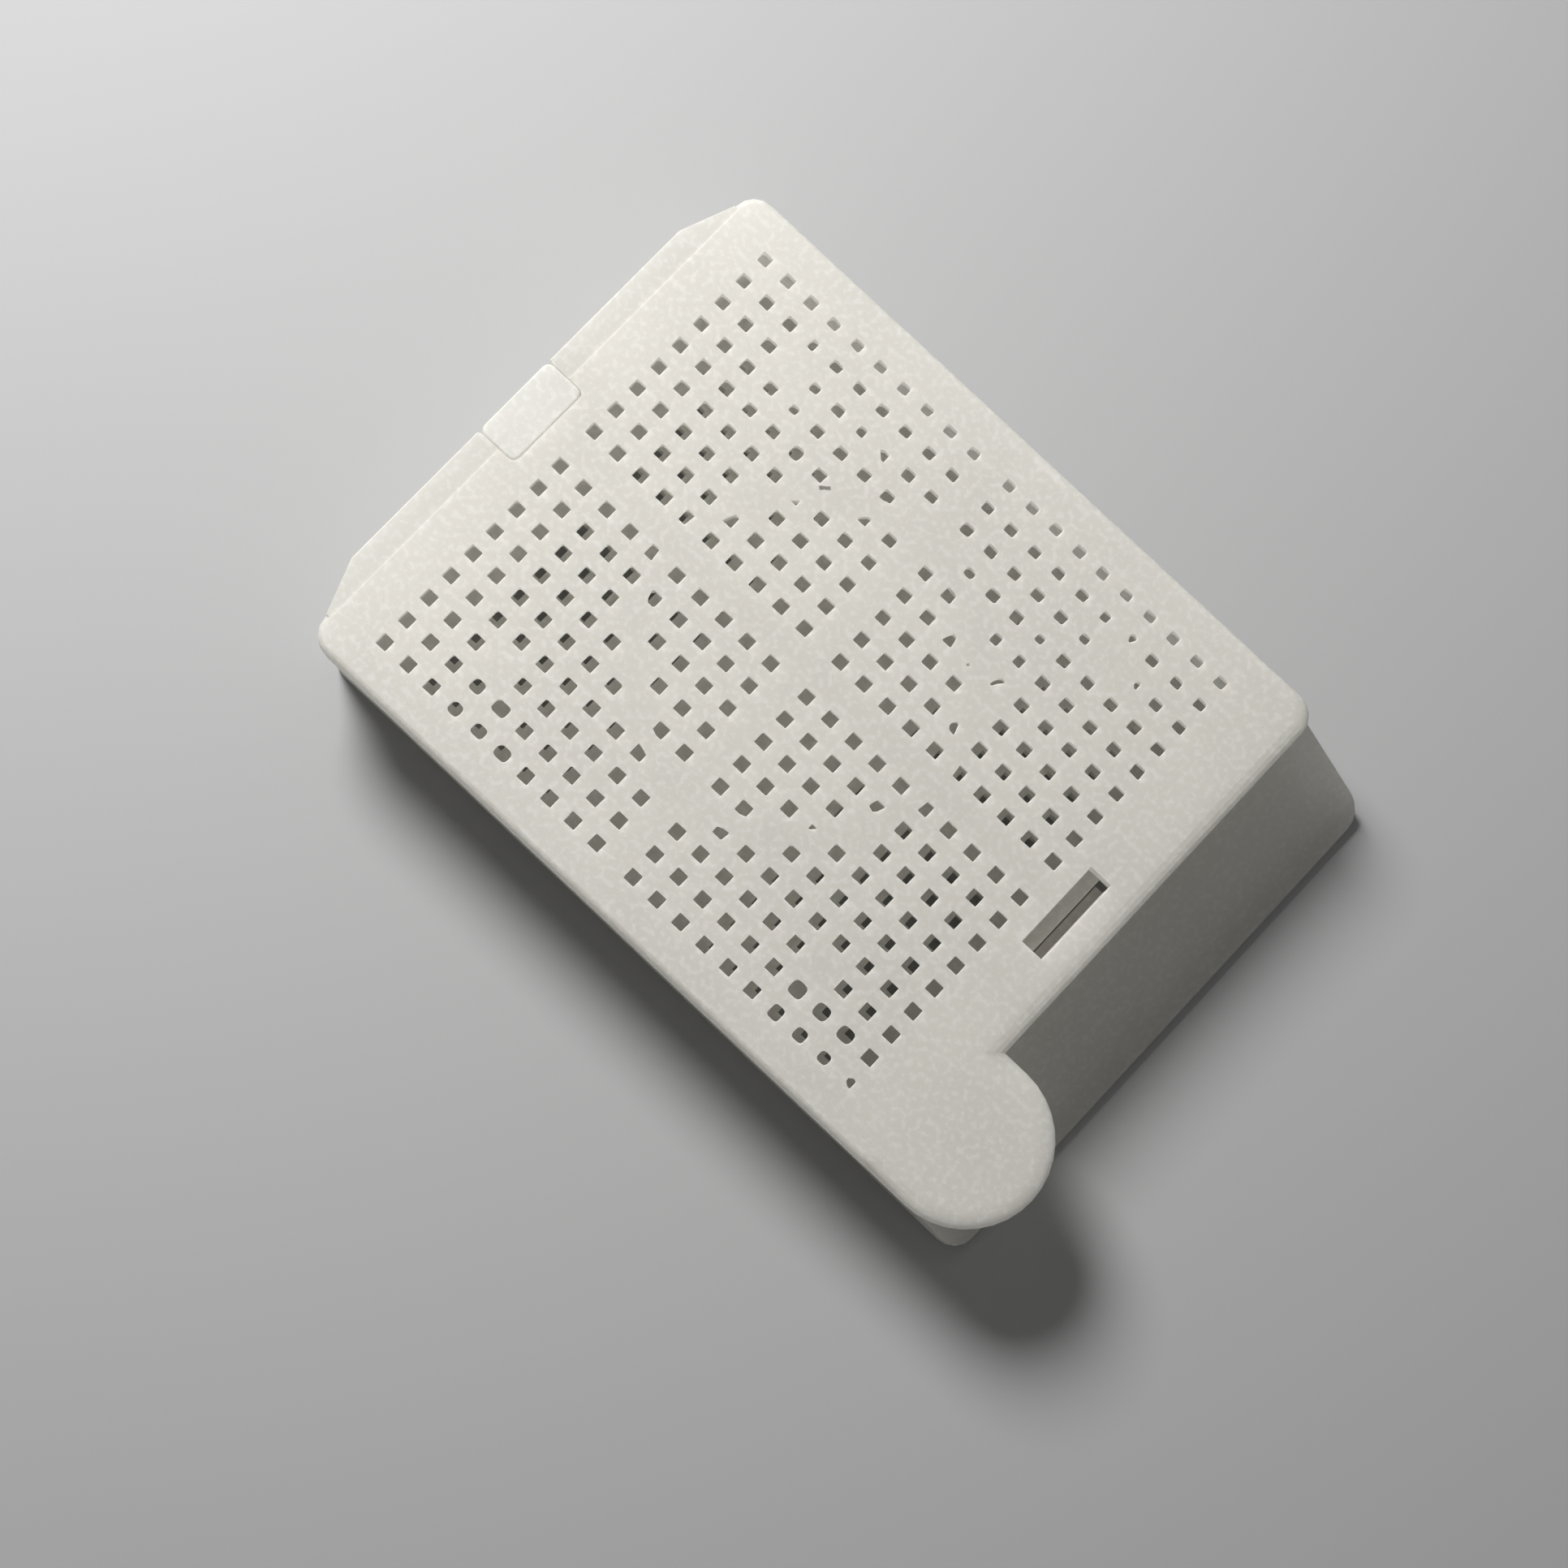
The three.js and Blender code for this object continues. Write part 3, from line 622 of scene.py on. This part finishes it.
@dataclass
class Moulding:
    """One moulding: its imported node's shape, with softer rims and truer holes."""

    node: str
    body: str
    slot: str
    finish: "Acetal"
    pattern: HolePattern
    centre_x: float
    hole_spacing: float = 0.2  # millimetres, the longest edge of an opening's outline
    sharp_angle: float = math.radians(38.0)
    weld: float = 0.0001 * MM
    level: float = 0.99999  # cosine from which a face counts as square to an axis
    broad: float = 0.25 * MM ** 2  # area from which any face counts as flat

    def build(self) -> bpy.types.Object:
        """Builds the moulding and lets it stand for its node.

        Returns:
            The finished piece.
        """
        solid = Solid(f"{self.node}_moulding").copy_node(self.node, self.weld)
        self.carve(solid)
        piece = solid.piece
        mesh = piece.data
        mesh.shade_smooth()
        mesh.set_sharp_from_angle(angle=self.sharp_angle)
        self.true_flats(mesh)
        mesh.materials.clear()
        mesh.materials.append(self.finish.material())
        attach(piece, self.body)
        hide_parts(self.node)
        return piece

    def true_flats(self, mesh: bpy.types.Mesh) -> None:
        """Makes flat faces shade as flat, right up to their round edges.

        Args:
            mesh: The mesh, already smooth and with its sharp edges marked.
        """
        normals = np.empty((len(mesh.polygons), 3), dtype=np.float32)
        mesh.polygons.foreach_get("normal", normals.ravel())
        totals = np.empty(len(mesh.polygons), dtype=np.int32)
        mesh.polygons.foreach_get("loop_total", totals)
        corners = np.empty(len(mesh.loops), dtype=np.int32)
        mesh.loops.foreach_get("vertex_index", corners)
        areas = np.empty(len(mesh.polygons), dtype=np.float32)
        mesh.polygons.foreach_get("area", areas)
        face_of = np.repeat(np.arange(len(totals)), totals)
        wanted = np.zeros((len(corners), 3), dtype=np.float32)
        for axis in np.concatenate((np.eye(3), -np.eye(3))).astype(np.float32):
            along = normals @ axis
            touched = np.zeros(len(mesh.vertices), dtype=bool)
            touched[corners[(along > self.level)[face_of]]] = True
            wanted[touched[corners] & (along > math.cos(self.sharp_angle))[face_of]] += axis
        order = np.argsort(areas[face_of])
        largest = np.zeros(len(mesh.vertices), dtype=np.int32)
        largest[corners[order]] = face_of[order]
        beside = np.where(areas[face_of] > self.broad, face_of, largest[corners])
        alike = (normals[beside] * normals[face_of]).sum(axis=1) > math.cos(self.sharp_angle)
        free = (areas[beside] > self.broad) & alike & ~wanted.any(axis=1)
        wanted[free] = normals[beside[free]]
        lengths = np.linalg.norm(wanted, axis=1, keepdims=True)
        mesh.normals_split_custom_set((wanted / np.maximum(lengths, 1.0)).tolist())

    def carve(self, solid: Solid) -> None:
        """Gives the solid its fine shape."""
        raise NotImplementedError

    def open_holes(self, solid: Solid, holes: list[Hole], low: float, high: float,
                   flare: float = 0.0) -> None:
        """Fills a plate's plain holes and cuts the true ones, with soft rims.

        Args:
            solid: The moulding.
            holes: The true holes.
            low: Height of the plate's underside, in millimetres.
            high: Height of its top.
            flare: How much wider the holes are below, on each side.
        """
        grid = self.pattern
        x = grid.middle_gap_x / 2 + (grid.columns - 1) * grid.pitch_x + grid.side
        y = grid.middle_gap_y / 2 + (grid.rows - 1) * grid.pitch_y + grid.side
        plain = [(-x, -y), (x, -y), (x, y), (-x, y)]
        filling = Solid("filling").stack([(low, plain), (high, plain)], self.centre_x).finish()
        solid.combine(Join.FILL, filling)
        pins = Solid("pins")
        for hole in holes:
            outline = divided(filleted(list(hole.outline), hole.corner), self.hole_spacing)
            under = round_rim(grown(outline, flare), low, hole.lip / 2, Face.UNDER)
            above = round_rim(outline, high, hole.lip, Face.TOP)
            pins.stack(under[::-1] + above, self.centre_x)
        solid.combine(Join.CUT, pins.finish())

    def soften(self, solid: Solid, outline: list[Point], top: float, lip: float) -> None:
        """Rounds the upper rim of an opening that the solid already has.

        Args:
            solid: The moulding.
            outline: The opening, anticlockwise.
            top: Height of the surface round it, in millimetres.
            lip: Radius of the rim.
        """
        fine = divided(outline, self.hole_spacing)
        start = (top - lip - SKIN, grown(fine, -SKIN))
        rim = Solid("rim").stack([start, *round_rim(fine, top, lip, Face.TOP)], self.centre_x)
        solid.combine(Join.CUT, rim.finish())


# ---------------------------------------------------------------- finishes


@dataclass(frozen=True)
class Mark:
    """A scratch, fleck or fibre on a level face: a short stroke with soft, ragged edges."""

    place: Point
    length: float
    width: float
    turn: float
    colour: Colour
    strength: float
    ends: Point = (0.55, 0.45)  # shares of the length where the mark is gone, and full
    sides: Point = (0.6, 0.35)  # shares of the width where the mark is gone, and full

    def cover(self, graph: Graph, point: bpy.types.NodeSocket) -> Tone:
        """How much the mark covers here.

        Args:
            graph: The material's graph.
            point: The point on the piece.

        Returns:
            A share between 0 and the mark's strength.
        """
        cos, sin = math.cos(self.turn), math.sin(self.turn)
        parts = graph.node("ShaderNodeSeparateXYZ", {}, {"Vector": point}).outputs
        x = Tone(graph, parts["X"]) - self.place[0]
        y = Tone(graph, parts["Y"]) - self.place[1]
        ragged = (graph.noise(point, self.width) - 0.5) * self.width
        along = abs(x * cos + y * sin) + ragged
        across = abs(y * cos - x * sin) + ragged
        lengthwise = along.rise(self.length * self.ends[0], self.length * self.ends[1])
        crosswise = across.rise(self.width * self.sides[0], self.width * self.sides[1])
        return lengthwise * crosswise * self.strength


# Marks of handling on the lid and, last, the trace of its gate: place about the hole pattern,
# length and width in millimetres, direction in degrees, colour, and strength
FIBRE: Colour = (0.045, 0.045, 0.04)
CHALK: Colour = (0.86, 0.855, 0.83)
LID_MARKS: tuple[tuple[Point, float, float, float, Colour, float], ...] = (
    ((-4.78, 6.33), 0.5, 0.17, 40.0, FIBRE, 1.0),
    ((15.05, -2.25), 0.45, 0.3, 70.0, CHALK, 0.6),
    ((-9.5, -8.85), 0.4, 0.22, 20.0, CHALK, 0.5),
    ((-8.85, -9.85), 0.34, 0.2, -30.0, CHALK, 0.5),
    ((-0.4, -12.15), 0.9, 0.09, 12.0, CHALK, 0.4),
    ((-11.8, -11.9), 0.8, 0.08, -18.0, CHALK, 0.4),
    ((2.0, 13.85), 1.9, 0.22, 0.0, CHALK, 0.45),
)


@dataclass(frozen=True)
class Acetal:
    """Fine matte acetal, warm white, with faint clouds, the marks of handling and, where asked,
    painted shade along the rear strip.
    """

    name: str
    colour: Colour
    shade: Colour
    pale: Colour = (0.82, 0.81, 0.78)
    roughness: float = 0.55
    grain_roughness: float = 0.12
    scuff_roughness: float = 0.05
    refraction: float = 1.48
    specular: float = 0.4
    cloud_size: float = 6.0 * MM
    cloud_range: Point = (0.35, 0.7)
    cloud_height: float = 0.5
    grain_size: float = 0.14 * MM
    grain_depth: float = 0.01 * MM
    bump_strength: float = 0.8
    scuff_size: float = 1.1 * MM
    scuff_stretch: Triple = (1.0, 6.0, 1.0)
    scuff_range: Point = (0.66, 0.74)
    scuff_share: float = 0.35
    fleck_size: float = 0.3 * MM
    fleck_range: Point = (0.46, 0.66)
    fleck_share: float = 0.75
    scatter: float = 1.0
    scatter_depth: float = 0.14 * MM
    scatter_colour: Colour = (1.0, 0.97, 0.92)
    through: float = 0.45
    glow: Colour = (0.99, 0.985, 0.96)
    marks: tuple[Mark, ...] = ()
    # Painted shade along the lid's rear strip: where it is full, how far forward it fades out,
    # and how far it darkens towards black
    painted_shade_edge: float | None = None
    painted_shade_width: float = 0.16 * MM
    painted_shade_share: float = 0.11

    def material(self) -> bpy.types.Material:
        """Builds the material.

        Returns:
            The material, whose pattern keeps to the piece as it moves.
        """
        made = bpy.data.materials.new(self.name)
        made.use_nodes = True
        graph = Graph(made.node_tree)
        point = graph.place()
        clouds = graph.noise(point, self.cloud_size, detail=4.0)
        grain = graph.noise(point, self.grain_size, detail=3.0)
        stretched = graph.stretched(point, self.scuff_stretch)
        worn = graph.noise(stretched, self.scuff_size, detail=5.0).rise(*self.scuff_range)
        colour = graph.blend(clouds.rise(*self.cloud_range), self.colour, self.shade)
        flecks = graph.noise(point, self.fleck_size, detail=4.0).rise(*self.fleck_range)
        mottled = graph.blend(flecks * self.fleck_share, colour, self.pale)
        wear_and_painted_shade_colour = graph.blend(worn * self.scuff_share, mottled, self.pale)
        # Painted shade: darkens the strip along the rear edge towards black, for the shade it
        # lies in and to hide the bright line at its step
        if self.painted_shade_edge is not None:
            axis = graph.tone("ShaderNodeSeparateXYZ", {}, {"Vector": point}, "X")
            behind = axis.rise(self.painted_shade_edge + self.painted_shade_width, self.painted_shade_edge)
            wear_and_painted_shade_colour = graph.blend(behind * self.painted_shade_share, wear_and_painted_shade_colour, BLACK)
        for mark in self.marks:
            wear_and_painted_shade_colour = graph.blend(mark.cover(graph, point), wear_and_painted_shade_colour, mark.colour)
        bump = graph.node("ShaderNodeBump", {}, {
            "Height": grain + clouds * self.cloud_height,
            "Strength": self.bump_strength,
            "Distance": self.grain_depth,
        })
        smoothest = self.roughness - self.grain_roughness / 2
        surface = graph.node("ShaderNodeBsdfPrincipled", {}, {
            "Base Color": wear_and_painted_shade_colour,
            "Roughness": smoothest + grain * self.grain_roughness + worn * self.scuff_roughness,
            "IOR": self.refraction,
            "Specular IOR Level": self.specular,
            "Subsurface Weight": self.scatter,
            "Subsurface Radius": self.scatter_colour,
            "Subsurface Scale": self.scatter_depth,
            "Normal": bump.outputs["Normal"],
        })
        passing = graph.node("ShaderNodeBsdfTranslucent", {}, {"Color": self.glow})
        whole = graph.mixed(self.through, surface.outputs["BSDF"], passing.outputs["BSDF"])
        graph.node("ShaderNodeOutputMaterial", {}, {"Surface": whole})
        return made


@dataclass
class Lid(Moulding):
    """The lid: plate, holes, latch slot and the notch round the hinge post.

    Its sizes are in millimetres, with X from the middle of the hole pattern.
    """

    top: float = 6.6
    thickness: float = 0.8
    flare: float = 0.1
    slot_x: Point = (15.28, 16.45)
    slot_y: Point = (-2.45, 2.05)
    post_front: float = -15.45
    post_y: Point = (-2.4, 2.0)
    post_corner: float = 0.35
    seam: float = 0.04
    seam_low: float = 6.2
    seam_lean: float = 0.125
    seam_margin: float = 0.2
    seam_reach: float = 0.45
    strip_top: float = 6.555
    strip_x: Point = (-17.45, -16.2)
    rear: float = -19.0
    rim_radius: float = 0.035

    def carve(self, solid: Solid) -> None:
        """Cuts the holes, rounds the slot's rim and narrows the seam round the post.

        Args:
            solid: The lid.
        """
        holes = self.pattern.lid_holes()
        self.open_holes(solid, holes, self.top - self.thickness, self.top, self.flare)
        (x0, x1), (y0, y1) = self.slot_x, self.slot_y
        slot = [(x0, y0), (x1, y0), (x1, y1), (x0, y1)]
        self.soften(solid, slot, self.top, self.rim_radius)
        self.close_seam(solid)

    def notch(self, lean: float) -> list[Point]:
        """Draws the notch round the hinge post.

        Args:
            lean: How much further forward its front stands.

        Returns:
            The notch's outline, anticlockwise.
        """
        front = self.post_front + self.seam + lean
        low, high = self.post_y[0] - self.seam, self.post_y[1] + self.seam
        corners = [(self.rear, low), (front, low), (front, high), (self.rear, high)]
        return filleted(corners, self.post_corner + self.seam)

    def close_seam(self, solid: Solid) -> None:
        """Narrows the upper part of the notch to a fine seam.

        Args:
            solid: The lid.
        """
        low, high = self.post_y[0] - self.seam_margin, self.post_y[1] + self.seam_margin
        rear, middle = self.strip_x
        front = self.post_front + self.seam_reach
        for x0, x1, top in ((middle, front, self.top), (rear, middle, self.strip_top)):
            plan = [(x0, low), (x1, low), (x1, high), (x0, high)]
            block = Solid("block").stack([(self.seam_low, plan), (top, plan)], self.centre_x)
            solid.combine(Join.FILL, block.finish())
        edge = self.notch(0.0)
        layers = [(self.seam_low, self.notch(self.seam_lean)), (self.top + SKIN, edge),
                  (self.top + PAST, edge)]
        pin = Solid("pin").stack(layers, self.centre_x)
        solid.combine(Join.CUT, pin.finish())


@dataclass
class Tray(Moulding):
    """The tray, and the holes in its floor. Its sizes are in millimetres."""

    floor_low: float = 0.2
    floor_high: float = 1.0

    def carve(self, solid: Solid) -> None:
        """Cuts the floor's holes."""
        self.open_holes(solid, self.pattern.floor_holes(), self.floor_low, self.floor_high)


# ---------------------------------------------------------------- studio


@dataclass
class Studio:
    """Plain pale floor, soft light, and the camera."""

    camera_place: Vector = field(default_factory=lambda: Vector((8.673, -26.416, 146.561)) * MM)
    camera_target: Vector = field(default_factory=lambda: Vector((0.203, -4.602, 6.6)) * MM)
    camera_roll: float = math.radians(22.307)
    lens: float = 74.53
    sensor: float = 36.0
    nearest: float = 5.0 * MM
    farthest: float = 20.0
    floor_half: float = 3.0
    floor_colour: Colour = (0.4, 0.4, 0.4)
    floor_bounce: Colour = (0.08, 0.08, 0.08)
    backdrop: Colour = (0.54, 0.54, 0.54)
    fade: Point = (0.045, 0.14)  # distances between which the floor fades into the backdrop
    sky_level: float = 0.18
    key_direction: Vector = field(default_factory=lambda: Vector((-0.66, 0.2, 0.725)))
    key_distance: float = 0.165
    key_size: float = 0.066
    key_power: float = 0.378

    def build(self) -> None:
        """Builds the whole studio."""
        self.floor()
        self.sky()
        self.key()
        self.camera()
        bpy.context.scene.view_settings.view_transform = "Standard"

    def seen(self, graph: Graph) -> Tone:
        """Picks out the rays that show the room, straight, in a gloss or through a piece.

        Args:
            graph: The graph of the floor's or the room's material.

        Returns:
            1 for such a ray, and 0 for one that only carries light.
        """
        paths = graph.node("ShaderNodeLightPath", {}, {}).outputs
        kinds = ("Is Camera Ray", "Is Glossy Ray", "Is Transmission Ray")
        straight, gloss, through = (Tone(graph, paths[kind]) for kind in kinds)
        return graph.maths("MINIMUM", straight + gloss + through, 1.0)

    def floor(self) -> None:
        """Lays the floor under the cassette. Far off, it fades into the backdrop."""
        half = self.floor_half
        corners = [(-half, -half, 0), (half, -half, 0), (half, half, 0), (-half, half, 0)]
        mesh = bpy.data.meshes.new("floor")
        mesh.from_pydata(corners, [], [(0, 1, 2, 3)])
        floor = bpy.data.objects.new("floor", mesh)
        bpy.context.scene.collection.objects.link(floor)
        made = bpy.data.materials.new("floor")
        made.use_nodes = True
        graph = Graph(made.node_tree)
        seen = self.seen(graph)
        colour = graph.blend(seen, self.floor_bounce, self.floor_colour)
        near = graph.node("ShaderNodeBsdfDiffuse", {}, {"Color": colour})
        far = graph.node("ShaderNodeEmission", {}, {"Color": self.backdrop})
        point = {0: graph.place()}
        distance = graph.tone("ShaderNodeVectorMath", {"operation": "LENGTH"}, point, "Value")
        fading = seen * distance.rise(*self.fade)
        surface = graph.mixed(fading, near.outputs["BSDF"], far.outputs["Emission"])
        graph.node("ShaderNodeOutputMaterial", {}, {"Surface": surface})
        mesh.materials.append(made)

    def sky(self) -> None:
        """Lights the room evenly."""
        world = bpy.data.worlds.new("room")
        world.use_nodes = True
        bpy.context.scene.world = world
        graph = Graph(world.node_tree)
        level = graph.blend(self.seen(graph), (self.sky_level,) * 3, self.backdrop)
        light = graph.node("ShaderNodeBackground", {}, {"Color": level})
        graph.node("ShaderNodeOutputWorld", {}, {"Surface": light.outputs["Background"]})

    def key(self) -> None:
        """Hangs the soft main lamp behind the hinge."""
        lamp = bpy.data.lights.new("key", "AREA")
        lamp.shape = "DISK"
        lamp.size = self.key_size
        lamp.energy = self.key_power
        holder = bpy.data.objects.new("key", lamp)
        direction = self.key_direction.normalized()
        holder.location = direction * self.key_distance
        holder.rotation_mode = "QUATERNION"
        holder.rotation_quaternion = direction.to_track_quat("Z", "Y")
        bpy.context.scene.collection.objects.link(holder)

    def camera(self) -> None:
        """Sets up the camera above the cassette."""
        lens = bpy.data.cameras.new("camera")
        lens.sensor_width = self.sensor
        lens.lens = self.lens
        lens.clip_start = self.nearest
        lens.clip_end = self.farthest
        holder = bpy.data.objects.new("camera", lens)
        back = (self.camera_place - self.camera_target).normalized()
        right = Vector((0.0, 0.0, 1.0)).cross(back).normalized()
        level = Matrix((right, back.cross(right), back)).transposed()
        turned = level @ Matrix.Rotation(self.camera_roll, 3, "Z")
        holder.matrix_world = Matrix.Translation(self.camera_place) @ turned.to_4x4()
        bpy.context.scene.collection.objects.link(holder)
        bpy.context.scene.camera = holder


# ---------------------------------------------------------------- main


def main() -> None:
    """Builds the cassette and its studio in order."""
    logging.basicConfig(level=logging.INFO, format="%(name)s: %(message)s")
    pattern = HolePattern()
    centre_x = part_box("lid")[0][0] + PATTERN_INSET
    tray_finish = Acetal("acetal_base", (0.7, 0.69, 0.65), (0.67, 0.66, 0.62))
    marks = tuple(
        Mark((x * MM + centre_x, y * MM), length * MM, width * MM, math.radians(turn), *look)
        for (x, y), length, width, turn, *look in LID_MARKS
    )
    # The lid's rear strip gets painted shade.
    lid_finish = Acetal("acetal_lid", (0.7, 0.68, 0.635), (0.67, 0.65, 0.61),
                        marks=marks, painted_shade_edge=centre_x + PAINTED_SHADE_EDGE)
    mouldings = [
        Tray("base", "base", "base_acetal", tray_finish, pattern, centre_x),
        Lid("lid", "lid", "lid_acetal", lid_finish, pattern, centre_x),
    ]
    for moulding in mouldings:
        piece = moulding.build()
        LOG.info("%s: %d faces", piece.name, len(piece.data.polygons))
    Studio().build()


if __name__ == "__main__":
    main()
